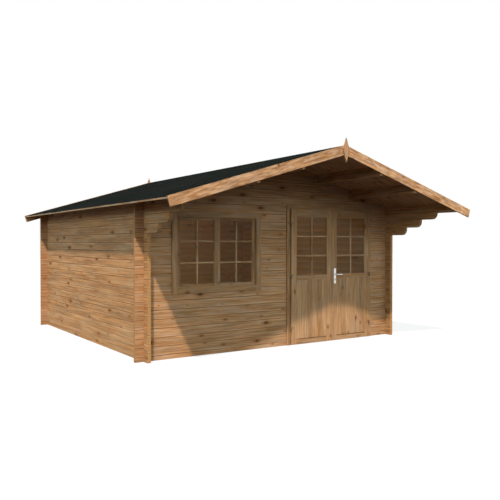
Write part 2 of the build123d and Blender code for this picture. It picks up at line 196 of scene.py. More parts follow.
# ---------------------------------------------------------------- shader building
class Shade:
    """Short calls to add nodes to one tree and join them."""

    def __init__(self, tree):
        self.tree = tree
        tree.nodes.clear()

    def put(self, socket, value):
        if isinstance(value, bpy.types.NodeSocket):
            self.tree.links.new(value, socket)
        elif socket.type == "RGBA" and len(value) == 3:
            socket.default_value = (*value, 1.0)
        else:
            socket.default_value = value

    def node(self, kind, inputs=None, **settings):
        made = self.tree.nodes.new(kind)
        for name, value in settings.items():
            setattr(made, name, value)
        for socket, value in (inputs or {}).items():
            self.put(made.inputs[socket], value)
        return made

    def math(self, operation, *values, clamp=False):
        made = self.node("ShaderNodeMath", operation=operation, use_clamp=clamp)
        for place, value in enumerate(values):
            self.put(made.inputs[place], value)
        return made.outputs[0]

    def total(self, *values):
        result = values[0]
        for value in values[1:]:
            result = self.math("ADD", result, value)
        return result

    def product(self, *values):
        result = values[0]
        for value in values[1:]:
            result = self.math("MULTIPLY", result, value)
        return result

    def less(self, value, taken):
        return self.math("SUBTRACT", value, taken)

    def graded(self, value, factor, start):
        """value times factor, plus start."""
        return self.math("MULTIPLY_ADD", value, factor, start)

    def reach(self, first, second):
        """Square root of the sum of two squares."""
        return self.math(
            "SQRT", self.total(self.product(first, first), self.product(second, second))
        )

    def ramp(self, value, low, high, low_to=0.0, high_to=1.0):
        """low_to at low and high_to at high, with an eased change between them."""
        made = self.node(
            "ShaderNodeMapRange",
            {
                "Value": value, "From Min": low, "From Max": high, "To Min": low_to,
                "To Max": high_to,
            },
            interpolation_type="SMOOTHSTEP",
        )
        return made.outputs["Result"]

    def bell(self, value, width):
        """One where value is nought, falling off over width."""
        share = self.math("DIVIDE", value, width)
        return self.math("EXPONENT", self.product(share, share, -1.0))

    def vector(self, x, y, z):
        made = self.node("ShaderNodeCombineXYZ", {0: x, 1: y, 2: z})
        return made.outputs[0]

    def split(self, vector):
        return self.node("ShaderNodeSeparateXYZ", {0: vector}).outputs

    def channels(self, colour):
        return self.node("ShaderNodeSeparateColor", {0: colour}).outputs

    def mapped(self, vector, setting, value):
        """A vector through a Mapping node with one of its settings changed."""
        return self.node("ShaderNodeMapping", {"Vector": vector, setting: value}).outputs[0]

    def noise(self, vector, scale=1.0, detail=2.0, roughness=0.5, distortion=0.0):
        made = self.node(
            "ShaderNodeTexNoise",
            {
                "Vector": vector, "Scale": scale, "Detail": detail, "Roughness": roughness,
                "Distortion": distortion,
            },
        )
        return made.outputs[0]

    def chance(self, value):
        """Random value and random colour that hold for one whole number."""
        made = self.node("ShaderNodeTexWhiteNoise", {"W": value}, noise_dimensions="1D")
        return made.outputs["Value"], made.outputs["Color"]

    def mix(self, share, first, second, blend="MIX"):
        made = self.node("ShaderNodeMix", data_type="RGBA", blend_type=blend)
        for socket, value in ((0, share), (6, first), (7, second)):
            self.put(made.inputs[socket], value)
        return made.outputs[2]

    def bump(self, height, strength, distance):
        made = self.node(
            "ShaderNodeBump", {"Height": height, "Strength": strength, "Distance": distance}
        )
        return made.outputs[0]


def new_material(name):
    material = bpy.data.materials.new(name)
    material.use_nodes = True
    return material, Shade(material.node_tree)


def finish_shader(shade, **inputs):
    """A plain Principled surface with the given sockets."""
    surface = shade.node("ShaderNodeBsdfPrincipled")
    for name, value in inputs.items():
        shade.put(surface.inputs[name.replace("_", " ")], value)
    shade.node("ShaderNodeOutputMaterial", {"Surface": surface.outputs[0]})


# Marks in softwood, felt and metal. Shares are of a colour's own red, green and blue.
DARK_SHARE = (0.55, 0.44, 0.305)
LIGHT_SHARE = (1.42, 1.56, 1.88)
HALO_SHARE = (0.62, 0.42, 0.24)
SAWN_DARK_SHARE = (0.74, 0.62, 0.52)
SAWN_LIGHT_SHARE = (1.20, 1.17, 1.10)
COOL_STAIN = (0.945, 1.04, 1.20)
WARM_STAIN = (1.075, 0.955, 0.78)
# Painted highlight: log edges made lighter, standing in for light caught by their chamfers.
LOG_EDGE_HIGHLIGHT = (1.16, 1.17, 1.19)
FELT_DARK = [0.50] * 3
FELT_LIGHT = [1.55] * 3
METAL_DULL = [0.82] * 3
KNOT_BROWN = (0.055, 0.026, 0.012)
JOINT_BROWN = (0.036, 0.017, 0.007)
KNOT_STRETCH = 0.6          # a knot's height over its length
KNOT_LEAST = 0.0045         # radius of the smallest knot
KNOT_GROWTH = 0.014         # what the largest has more
KNOT_SPREAD = 0.8           # share of a log's height over which knots lie
KNOTLESS = 0.35             # share of places left without a knot
LINE_PITCH = 520.0          # growth lines across a face, in radians to the metre
LINE_PITCH_DEEP = 310.0     # the same into the wood
RING_PITCH = 1500.0         # the same for the rings of an end
PITH_REACH = 0.10           # width over which the pith's place may lie


def share_of(colour, shares):
    return [channel * share for channel, share in zip(colour, shares)]


def softwood_group():
    """Sawn softwood: growth lines that part round knots, fibres, blotches and end rings."""
    group = bpy.data.node_groups.new("softwood", "ShaderNodeTree")
    shade = Shade(group)
    for name in ("Along", "Across", "Depth", "Piece", "Width", "Knot spacing"):
        group.interface.new_socket(name, in_out="INPUT", socket_type="NodeSocketFloat")
    for name in ("Tone", "Halo", "Knot", "End ring", "Height", "Tint"):
        group.interface.new_socket(name, in_out="OUTPUT", socket_type="NodeSocketFloat")
    entry = shade.node("NodeGroupInput").outputs
    along, across, depth, piece, width, spacing = [entry[place] for place in range(6)]

    # A log carries its knots at uneven places along it, each at its own height and size.
    shifted = shade.total(along, shade.product(piece, 13.7))
    place = shade.math("DIVIDE", shifted, spacing)
    cell = shade.node("ShaderNodeTexVoronoi", {"W": place, "Scale": 1.0}, voronoi_dimensions="1D")
    height_chance, size_chance, kept_chance = shade.channels(cell.outputs["Color"])
    off_along = shade.product(shade.less(place, cell.outputs["W"]), spacing)
    knot_height = shade.product(shade.less(height_chance, 0.5), width, KNOT_SPREAD)
    off_across = shade.less(across, knot_height)
    standing = shade.math("POWER", size_chance, 3.0)
    size = shade.graded(standing, KNOT_GROWTH, KNOT_LEAST)
    kept = shade.math("GREATER_THAN", kept_chance, KNOTLESS)
    far = shade.reach(shade.product(off_along, KNOT_STRETCH), off_across)
    uneven = shade.noise(shade.vector(shifted, across, depth), scale=90.0, detail=1.0)
    far = shade.product(far, shade.graded(uneven, 0.7, 0.65))
    share = shade.math("DIVIDE", far, size)
    strength = shade.product(kept, shade.graded(standing, 0.75, 0.25))
    knot = shade.product(strength, shade.ramp(share, 0.70, 1.20, 1.0, 0.0))
    halo = shade.product(kept, shade.ramp(share, 0.8, 3.2, 1.0, 0.0))
    parting = shade.product(
        kept,
        shade.bell(off_along, shade.product(size, 5.0)),
        shade.bell(off_across, shade.product(size, 2.6)),
        0.7,
    )
    grain_across = shade.total(knot_height, shade.product(off_across, shade.less(1.0, parting)))

    # Growth lines wander slowly, fibres run straight, and broad blotches tint whole stretches.
    def stretched(along_scale, across_scale, **kind):
        return shade.noise(
            shade.vector(
                shade.product(shifted, along_scale), shade.product(grain_across, across_scale),
                shade.product(depth, across_scale),
            ),
            **kind,
        )

    wander = stretched(0.9, 8.0, detail=2.0)
    phase = shade.total(
        shade.product(grain_across, LINE_PITCH), shade.product(depth, LINE_PITCH_DEEP),
        shade.product(wander, 34.0),
    )
    line = shade.graded(shade.math("SINE", phase), 0.5, 0.5)
    streak = stretched(2.8, 36.0, detail=4.0, roughness=0.62)
    fibre = stretched(22.0, 700.0, detail=1.0)
    blotch = stretched(2.6, 9.0, detail=3.0, roughness=0.6)
    tinge = stretched(3.0, 21.0, scale=1.07, detail=3.0, roughness=0.62)
    value, colour = shade.chance(shade.math("ADD", piece, 0.71))
    hue = shade.channels(colour)[1]
    tone = shade.total(
        shade.product(shade.ramp(streak, 0.36, 0.64), 0.52),
        shade.product(shade.ramp(blotch, 0.34, 0.66), 0.20),
        shade.product(line, 0.10),
        shade.product(fibre, 0.10),
        shade.product(value, 0.16),
        -0.04,
    )
    tint = shade.total(
        shade.product(shade.ramp(tinge, 0.33, 0.67), 0.84), shade.product(hue, 0.16)
    )

    # The pith lies outside most ends, so their rings are arcs.
    _, pith = shade.chance(shade.math("ADD", piece, 0.37))
    pith_across, pith_depth, _ = shade.channels(pith)
    pith_across = shade.product(shade.less(pith_across, 0.5), PITH_REACH)
    pith_depth = shade.product(pith_depth, PITH_REACH)
    radius = shade.reach(
        shade.less(across, pith_across), shade.less(shade.math("ABSOLUTE", depth), pith_depth)
    )
    warped = shade.total(shade.product(radius, RING_PITCH), shade.product(uneven, 9.0))
    ring = shade.graded(shade.math("SINE", warped), 0.5, 0.5)

    height = shade.total(
        shade.product(fibre, 0.45), shade.product(line, 0.30), shade.product(streak, 0.25),
        shade.product(knot, -0.5),
    )
    exit_node = shade.node("NodeGroupOutput")
    for place, result in enumerate((tone, halo, knot, ring, height, tint)):
        shade.put(exit_node.inputs[place], result)
    return group


def timber(colour, along, across, depth, piece, end, shade, material,
           width=0.1, spacing=0.3, joint=None, rough=0.62, inside=None, figure=1.0, short=1.0,
           variety=0.0, edges=None):
    """Joins the softwood figure to a surface: streaks, knots, end grain and dark joints.

    figure is the strength of the streaks, short shortens them, and variety sets boards apart.
    inside holds a mask and the colour of bare timber. edges is a mask of the log edges that get a
    painted highlight.
    """
    group = bpy.data.node_groups.get("softwood") or softwood_group()
    wood = shade.node("ShaderNodeGroup")
    wood.node_tree = group
    if short != 1.0:
        along = shade.product(along, short)
    for place, value in enumerate((along, across, depth, piece, width, spacing * short)):
        shade.put(wood.inputs[place], value)
    tone, halo, knot, ring, height, tint = wood.outputs

    if inside is not None:
        # Bare planed boards are plainer than stained ones.
        plain = shade.less(1.0, shade.product(inside[0], 0.65))
        figure = shade.product(figure, plain)
        halo, knot = shade.product(halo, plain), shade.product(knot, plain)
    spread = shade.product(shade.less(tone, 0.5), figure)
    if variety:
        own, _ = shade.chance(shade.math("ADD", piece, 0.19))
        spread = shade.total(spread, shade.product(shade.less(own, 0.5), variety))
    tone = shade.math("ADD", spread, 0.5, clamp=True)
    face = shade.mix(tone, share_of(colour, DARK_SHARE), share_of(colour, LIGHT_SHARE))
    face = shade.mix(1.0, face, shade.mix(tint, COOL_STAIN, WARM_STAIN), "MULTIPLY")
    face = shade.mix(shade.product(halo, 0.62), face, share_of(colour, HALO_SHARE))
    face = shade.mix(shade.product(knot, 0.85), face, KNOT_BROWN)
    sawn = shade.mix(ring, share_of(colour, SAWN_DARK_SHARE), share_of(colour, SAWN_LIGHT_SHARE))
    face = shade.mix(end, face, sawn)
    if inside is not None:
        share, bare = inside
        paler = [channel / stained for channel, stained in zip(bare, colour)]
        face = shade.mix(share, face, shade.mix(1.0, face, paler, "MULTIPLY"))
    # Painted highlight: lighter log edges stand in for light on their chamfers.
    if edges is not None:
        face = shade.mix(edges, face, LOG_EDGE_HIGHLIGHT, "MULTIPLY")
    if joint is not None:
        if inside is not None:
            joint = shade.product(joint, plain)
        face = shade.mix(joint, face, JOINT_BROWN)
    finish_shader(
        shade,
        Base_Color=face,
        Roughness=shade.graded(tone, 0.16, rough),
        Specular_IOR_Level=0.12,
        Normal=shade.bump(height, 0.55, 0.0012),
    )
    return material


def timber_of_node(name, colour, run, stack, pitch=0.0, width=0.1, joint=None, offset=0.0,
                   centre=0.0, spacing=0.3, seed=0.0, bare=None, figure=1.0, short=1.0):
    """Timber on Object coordinates, for packed nodes.

    run and stack name the axes that the grain follows and that pieces are stacked on. width is a
    piece's width, offset the place of a joint, and pitch a turn about Y for a sloping board.
    """
    material, shade = new_material(name)
    source = shade.node("ShaderNodeTexCoord").outputs
    point, normal = source["Object"], source["Normal"]
    if pitch:
        point = shade.mapped(point, "Rotation", (0.0, pitch, 0.0))
        normal = shade.mapped(normal, "Rotation", (0.0, pitch, 0.0))
    third = next(axis for axis in AXES if axis not in (run, stack))
    place = shade.split(point)
    along, stacked, depth = place[run], place[stack], place[third]
    end = shade.ramp(shade.math("ABSOLUTE", shade.split(normal)[run]), 0.80, 0.90)
    if joint:
        course = shade.math("DIVIDE", shade.less(stacked, offset), width)
        index = shade.math("FLOOR", course)
        within = shade.math("FRACT", course)
        across = shade.product(shade.less(within, 0.5), width)
        edge = shade.less(width / 2, shade.math("ABSOLUTE", across))
        # Boards shut tighter in some courses, and at some places along a course, than at others.
        nearest = shade.math("ROUND", course)
        tightness, _ = shade.chance(shade.math("ADD", nearest, 0.13))
        drift = shade.noise(
            shade.vector(shade.product(along, 1.3), nearest, shade.math("SIGN", depth)), detail=2.0
        )
        open_share = shade.total(shade.product(tightness, 0.45), shade.product(drift, 0.9), 0.12)
        line = shade.product(
            shade.ramp(edge, joint * 0.25, joint, 1.0, 0.0),
            shade.math("MINIMUM", open_share, 0.92),
        )
        piece = shade.total(index, shade.product(shade.math("SIGN", depth), 31.0), seed)
        # Painted highlight: a band near each joint lightens both edges of a log, for light caught
        # by their chamfers.
        edges = shade.ramp(edge, joint * 2.0, width * 0.28, 1.0, 0.0)
    else:
        edges = None
        across = shade.less(stacked, centre)
        line = None
        piece = shade.total(shade.product(shade.math("SIGN", depth), 3.0), seed)
    inside = (in_room(shade, place), bare) if bare is not None else None
    return timber(
        colour, along, across, depth, piece, end, shade, material, width, spacing, line,
        inside=inside, figure=figure, short=short, edges=edges,
    )


def in_room(shade, place):
    """One on surfaces that face the room. The floor boards nearly reach its walls."""
    low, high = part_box("floor_boards")
    slack = 0.014               # clears the gap between floor boards and walls
    middle = (low.y + high.y) / 2
    beside = shade.less(high.x + slack, shade.math("ABSOLUTE", place["X"]))
    off_middle = shade.math("ABSOLUTE", shade.less(place["Y"], middle))
    behind = shade.less(high.y + slack - middle, off_middle)
    return shade.math("GREATER_THAN", shade.math("MINIMUM", beside, behind), 0.0)


def timber_of_boards(name, colour, spacing=0.35, bare=None, figure=1.0, variety=0.0):
    """Timber that follows the grain coordinates that Boards leaves on its pieces."""
    material, shade = new_material(name)
    grain = shade.node("ShaderNodeAttribute", attribute_name="grain").outputs["Vector"]
    along, across, depth = shade.split(grain)
    piece = shade.node("ShaderNodeAttribute", attribute_name="piece").outputs["Fac"]
    end = shade.node("ShaderNodeAttribute", attribute_name="end").outputs["Fac"]
    inside = None
    if bare is not None:
        point = shade.node("ShaderNodeTexCoord").outputs["Object"]
        inside = (in_room(shade, shade.split(point)), bare)
    return timber(
        colour, along, across, depth, piece, end, shade, material, 0.09, spacing,
        inside=inside, figure=figure, variety=variety,
    )


def joinery_timber(name, colour):
    """Planed timber with few knots, whose pieces differ a little."""
    return timber_of_boards(name, colour, spacing=0.8, figure=0.65, variety=0.30)


def felt_material(colour):
    """Mineral felt: crushed slate on bitumen, with worn patches."""
    material, shade = new_material("mineral_felt")
    point = shade.node("ShaderNodeTexCoord").outputs["Object"]
    grit = shade.node("ShaderNodeTexVoronoi", {"Vector": point, "Scale": 420.0})
    speck = shade.channels(grit.outputs["Color"])[0]
    patch = shade.noise(point, scale=1.6, detail=4.0, roughness=0.6)
    drift = shade.noise(point, scale=14.0, detail=3.0, roughness=0.6)
    level = shade.total(
        shade.product(speck, 0.40), shade.product(patch, 0.40), shade.product(drift, 0.20)
    )
    face = shade.mix(
        shade.ramp(level, 0.25, 0.75), share_of(colour, FELT_DARK), share_of(colour, FELT_LIGHT)
    )
    finish_shader(
        shade,
        Base_Color=face,
        Roughness=shade.graded(speck, 0.08, 0.90),
        Specular_IOR_Level=0.0,
        Normal=shade.bump(grit.outputs["Distance"], 0.5, 0.0015),
    )
    return material


def glass_material(tint):
    """Clear float glass that lets lamps and fill light through."""
    material, shade = new_material("float_glass")
    surface = shade.node(
        "ShaderNodeBsdfPrincipled",
        {"Base Color": tint, "Roughness": 0.0, "IOR": 1.12, "Transmission Weight": 1.0},
    )
    path = shade.node("ShaderNodeLightPath").outputs
    passing = shade.node("ShaderNodeBsdfTransparent", {"Color": tint}).outputs[0]
    share = shade.math("MAXIMUM", path["Is Shadow Ray"], path["Is Diffuse Ray"])
    pane = shade.node("ShaderNodeMixShader", {0: share, 1: surface.outputs[0], 2: passing})
    shade.node("ShaderNodeOutputMaterial", {"Surface": pane.outputs[0]})
    return material


def metal_material(name, colour, rough, scale, metallic=1.0):
    """Metal, bare or coated, with fine scuffs and a little uneven polish."""
    material, shade = new_material(name)
    point = shade.node("ShaderNodeTexCoord").outputs["Object"]
    cloud = shade.noise(point, scale=scale, detail=3.0, roughness=0.6)
    scuff = shade.noise(shade.mapped(point, "Scale", (900.0, 900.0, 60.0)), detail=2.0)
    dull = share_of(colour, METAL_DULL)
    finish_shader(
        shade,
        Base_Color=shade.mix(shade.ramp(cloud, 0.35, 0.65), dull, colour),
        Metallic=metallic,
        Roughness=shade.total(shade.product(cloud, 0.16), shade.product(scuff, 0.10), rough),
        Normal=shade.bump(scuff, 0.25, 0.0003),
    )
    return material


# ---------------------------------------------------------------- pieces
SHARP_ANGLE = math.radians(35)
SAME_LEVEL = 0.0004
SOCKET_RIM = 0.28           # shares of a screw head's radius
SOCKET_WALL = 0.04


def coat(material, *nodes):
    """Gives packed nodes their finish."""
    for node in nodes:
        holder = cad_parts[node]
        if not holder.material_slots:
            holder.data.materials.append(material)
        for place in holder.material_slots:
            place.material = material


def levels(node, axis):
    """Distinct coordinates of a packed node's corners along one axis, in order."""
    found = []
    for value in sorted(vert.co[AXES.index(axis)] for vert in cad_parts[node].data.vertices):
        if not found or value - found[-1] > SAME_LEVEL:
            found.append(value)
    return found


def add_object(name, data):
    """A new object in the scene."""
    made = bpy.data.objects.new(name, data)
    bpy.context.scene.collection.objects.link(made)
    return made


def mesh_from(name, shape):
    """A new mesh that takes the place of a bmesh."""
    mesh = bpy.data.meshes.new(name)
    shape.to_mesh(mesh)
    shape.free()
    return mesh


def place_piece(name, shape, material, body, replaced=(), smooth=False):
    """Makes an object of a bmesh, ties it to its body and hides the nodes it stands for."""
    mesh = mesh_from(name, shape)
    mesh.materials.append(material)
    if smooth:
        mesh.shade_smooth()
        mesh.set_sharp_from_angle(angle=SHARP_ANGLE)
    piece = add_object(name, mesh)
    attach(piece, body)
    if replaced:
        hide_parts(*replaced)
    return piece


def slab(low, high):
    """A new bmesh block between two corners."""
    low, high = Vector(low), Vector(high)
    block = bmesh.new()
    bmesh.ops.create_cube(block, size=1.0)
    bmesh.ops.scale(block, vec=high - low, verts=block.verts)
    bmesh.ops.translate(block, vec=(low + high) / 2, verts=block.verts)
    return block


def ease(shape, edges, width, segments=1):
    """Bevels edges, flat or rounded by segments."""
    bmesh.ops.bevel(
        shape, geom=edges, offset=width, offset_type="OFFSET", segments=segments, profile=0.5,
        affect="EDGES", material=-1,
    )


def join(shape, part):
    """Moves one bmesh into another."""
    mesh = mesh_from("part", part)
    shape.from_mesh(mesh)
    bpy.data.meshes.remove(mesh)


class Boards:
    """Boards gathered in one mesh. Each keeps its own grain coordinates, number and end faces.

    Numbers count on from a first one, which sets groups of boards apart in figure.
    """

    def __init__(self, first):
        self.shape = bmesh.new()
        self.number = first

    def add(self, low, high, run, eased=0.0015, place=None, cut_back=0.0, drip=0.0):
        """Adds a board between two corners, with its grain along the axis run.

        place turns the finished board. cut_back moves the back of its edge on one side in X, which
        a meeting stile needs: positive on the right edge, negative on the left. drip chamfers the
        lower edge of its face.
        """
        low, high = Vector(low), Vector(high)
        size, middle = high - low, (low + high) / 2
        order = sorted(range(3), key=lambda axis: (axis != AXES.index(run), -size[axis]))
        board = slab(low, high)
        if cut_back:
            side = math.copysign(1.0, cut_back)
            edge = [v for v in board.verts if v.co.y > middle.y and (v.co.x - middle.x) * side > 0]
            bmesh.ops.translate(board, vec=(-cut_back, 0.0, 0.0), verts=edge)
        if drip:
            arris = [
                edge for edge in board.edges
                if all(v.co.y < middle.y and v.co.z < middle.z for v in edge.verts)
            ]
            ease(board, arris, drip)
        ease(board, board.edges[:], eased)
        board.normal_update()
        grain = board.verts.layers.float_vector.new("grain")
        piece = board.verts.layers.float.new("piece")
        end = board.faces.layers.float.new("end")
        for vert in board.verts:
            vert[grain] = [vert.co[axis] - middle[axis] for axis in order]
            vert[piece] = float(self.number)
        for face in board.faces:
            face[end] = float(abs(face.normal[order[0]]) > 0.8)
        if place is not None:
            bmesh.ops.transform(board, matrix=place, verts=board.verts)
        self.number += 1
        join(self.shape, board)

    def frame(self, uprights, rails, depth, eased, cut_backs=(0.0, 0.0), drip=0.0):
        """Adds two uprights and the rails between them, the lowest of which may have a drip."""
        bottom, top = rails[0][0], rails[-1][1]
        for (left, right), cut_back in zip(uprights, cut_backs):
            self.add(
                (left, depth[0], bottom), (right, depth[1], top), "Z", eased, cut_back=cut_back
            )
        for low, high in rails:
            self.add(
                (uprights[0][1], depth[0], low), (uprights[1][0], depth[1], high), "X", eased,
                drip=drip if low == bottom else 0.0,
            )

    def finish(self, name, material, body, slot, *replaced):
        return place_piece(name, self.shape, material, body, replaced)


def bands(low, high, width):
    """A band inside each end of a span."""
    return (low, low + width), (high - width, high)


def add_block(shape, centre, size):
    """Adds a small block."""
    centre, half = Vector(centre), size / 2
    join(shape, slab(centre - half, centre + half))


def disc(shape, centre, radius, depth, axis, segments=12, dome=0.4, socket=0.0):
    """Adds a low domed head, such as a screw's or a nail's, whose back is at centre.

    socket is the share of the head's depth that its middle is sunk.
    """
    part = bmesh.new()
    bmesh.ops.create_cone(
        part, cap_ends=True, segments=segments, radius1=radius, radius2=radius * (1 - dome),
        depth=depth,
    )
    if socket:
        part.normal_update()
        top = [face for face in part.faces if face.normal.z > 0.99]
        bmesh.ops.inset_individual(part, faces=top, thickness=radius * SOCKET_RIM)
        bmesh.ops.inset_individual(
            part, faces=top, thickness=radius * SOCKET_WALL, depth=-depth * socket
        )
    bmesh.ops.translate(part, vec=(0.0, 0.0, depth / 2), verts=part.verts)
    turn = Vector((0.0, 0.0, 1.0)).rotation_difference(Vector(axis)).to_matrix().to_4x4()
    bmesh.ops.transform(part, matrix=Matrix.Translation(centre) @ turn, verts=part.verts)
    join(shape, part)


class Slope:
    """Plane of one side of the roof, read from a packed slab that reaches the ridge line."""

    def __init__(self, node, side, upper=True):
        corners = {
            (round(abs(v.co.x), 5), round(v.co.z, 5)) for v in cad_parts[node].data.vertices
        }
        ridge = sorted(z for x, z in corners if x < 1e-4)
        eave = max(corners)
        self.side = side
        self.angle = math.atan2(ridge[-1] - eave[1], eave[0])
        self.run = math.hypot(ridge[-1] - eave[1], eave[0])
        self.thickness = (ridge[-1] - ridge[0]) * math.cos(self.angle)
        self.ridge = ridge[-1] if upper else ridge[0]

    def place(self):
        """Turns a level layout onto the slope. Distances from the ridge are along X."""
        return Matrix.Translation((0.0, 0.0, self.ridge)) @ Matrix.Rotation(
            self.side * self.angle, 4, "Y"
        )

    def span(self, near, far):
        """Low and high X of a layer between two distances from the ridge."""
        return sorted((self.side * near, self.side * far))


# ---------------------------------------------------------------- operators
# Lamps, the light from all round, and the floor.
KEY_TINT = (1.0, 0.90, 0.88)
FRONT_TINT = (0.77, 0.94, 1.0)
FRONT_DIRECTION = (-0.25, 0.80, -0.55)
FRONT_SPREAD = math.radians(100)
ROOM_TINT = (1.0, 0.93, 0.84)
ROOM_LAMP_Z = 1.5
ROOM_LAMP_SIZE = 0.4
FILL_TINT = (0.74, 0.885, 1.0)
WHITE = (1.0, 1.0, 1.0)
FLOOR_DROP = 0.001          # keeps the floor clear of the joists' undersides
FLOOR_TINT = (0.16, 0.155, 0.15)
FLOOR_GLOW = 0.84
FLOOR_BOUNCE = (0.03, 0.03, 0.03)


class CABIN_OT_stage(bpy.types.Operator):
    """Camera, key light, fill light and a pale floor"""

    bl_idname = "cabin.stage"
    bl_label = "Stage"

    def execute(self, context):
        sizes = context.scene.cabin_stage
        scene = context.scene
        scene.view_settings.view_transform = "Standard"

        camera = add_object("camera", bpy.data.cameras.new("camera"))
        camera.data.sensor_width = 36.0
        camera.data.lens = sizes.lens
        camera.data.clip_end = 500.0
        camera.location = sizes.eye
        camera.rotation_euler = (sizes.tilt, 0.0, sizes.heading)
        scene.camera = camera

        distant = (
            ("key_light", sizes.key, sizes.softness, KEY_TINT, sizes.key_direction),
            ("front_light", sizes.front, FRONT_SPREAD, FRONT_TINT, FRONT_DIRECTION),
        )
        for name, strength, angle, colour, direction in distant:
            lamp = self.lamp(name, "SUN", strength, colour)
            lamp.data.angle = angle
            lamp.rotation_mode = "QUATERNION"
            lamp.rotation_quaternion = Vector(direction).to_track_quat("-Z", "Y")

        low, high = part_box("floor_boards")
        lamp = self.lamp("room_light", "POINT", sizes.room, ROOM_TINT)
        lamp.data.shadow_soft_size = ROOM_LAMP_SIZE
        lamp.location = (0.0, (low.y + high.y) / 2, ROOM_LAMP_Z)
        lamp.visible_camera = False
        lamp.visible_glossy = False
        lamp.visible_transmission = False

        world = bpy.data.worlds.new("fill_light")
        scene.world = world
        world.use_nodes = True
        shade = Shade(world.node_tree)
        direction = shade.node("ShaderNodeTexCoord").outputs["Generated"]
        height = shade.split(direction)[2]
        ring = shade.product(
            shade.ramp(height, 0.10, 0.20), shade.ramp(height, 0.30, 0.42, 1.0, 0.0), sizes.ring
        )
        fill = shade.node(
            "ShaderNodeBackground",
            {"Color": FILL_TINT, "Strength": shade.math("ADD", ring, sizes.fill)},
        )
        white = shade.node("ShaderNodeBackground", {"Color": WHITE, "Strength": 1.0})
        lit = shade.node(
            "ShaderNodeMixShader", {0: seen(shade), 1: fill.outputs[0], 2: white.outputs[0]}
        )
        shade.node("ShaderNodeOutputWorld", {"Surface": lit.outputs[0]})

        ground = bmesh.new()
        bmesh.ops.create_grid(ground, x_segments=1, y_segments=1, size=sizes.floor_reach)
        bmesh.ops.translate(ground, vec=(0.0, 0.0, -FLOOR_DROP), verts=ground.verts)
        material, shade = new_material("pale_floor")
        matt = shade.node("ShaderNodeBsdfDiffuse", {"Color": FLOOR_TINT})
        glow = shade.node("ShaderNodeEmission", {"Color": WHITE, "Strength": FLOOR_GLOW})
        pale = shade.node("ShaderNodeAddShader", {0: matt.outputs[0], 1: glow.outputs[0]})
        bounce = shade.node("ShaderNodeBsdfDiffuse", {"Color": FLOOR_BOUNCE})
        both = shade.node(
            "ShaderNodeMixShader", {0: seen(shade), 1: bounce.outputs[0], 2: pale.outputs[0]}
        )
        shade.node("ShaderNodeOutputMaterial", {"Surface": both.outputs[0]})
        floor = add_object("floor", mesh_from("floor", ground))
        floor.data.materials.append(material)
        return {"FINISHED"}

    def lamp(self, name, kind, energy, tint):
        lamp = add_object(name, bpy.data.lights.new(name, kind))
        lamp.data.energy = energy
        lamp.data.color = tint
        return lamp


def seen(shade):
    """One for rays from the camera, from a gloss and through glass."""
    path = shade.node("ShaderNodeLightPath").outputs
    either = shade.math("MAXIMUM", path["Is Camera Ray"], path["Is Glossy Ray"])
    return shade.math("MAXIMUM", either, path["Is Transmission Ray"])


# Painted light: the side walls' logs are coloured a little lighter than the end walls', standing in
# for more light on the side walls.
SIDE_LOG_PAINTED_LIGHT = (1.04, 1.05, 0.965)  # side logs' colour over end logs'


class CABIN_OT_log_walls(bpy.types.Operator):
    """Stained logs of the four walls, gables, brackets and wall plates"""

    bl_idname = "cabin.log_walls"
    bl_label = "Log walls"

    def execute(self, context):
        sizes = context.scene.cabin_timber
        # The side logs take the lighter colour that paints in more light on the side walls.
        side_logs = timber_of_node(
            "side_logs", share_of(sizes.log_colour, SIDE_LOG_PAINTED_LIGHT), "Y", "Z",
            width=sizes.course, joint=sizes.joint, spacing=0.60, bare=sizes.inside_colour,
            short=0.60, figure=0.85,
        )
        end_logs = timber_of_node(
            "end_logs", sizes.log_colour, "X", "Z", width=sizes.course, joint=sizes.joint,
            offset=sizes.course / 2, spacing=0.56, seed=7.0, bare=sizes.inside_colour, short=0.70,
            figure=0.80,
        )
        for side in ("left", "right"):
            coat(side_logs, f"{side}_wall", f"{side}_bracket_logs", f"{side}_wall_plate")
        coat(
            end_logs, "front_wall_under_window", "front_wall_left_of_window",
            "front_wall_right_of_window", "front_wall_right_of_door", "front_wall_over_window",
            "rear_wall", "front_gable", "rear_gable",
        )
        return {"FINISHED"}


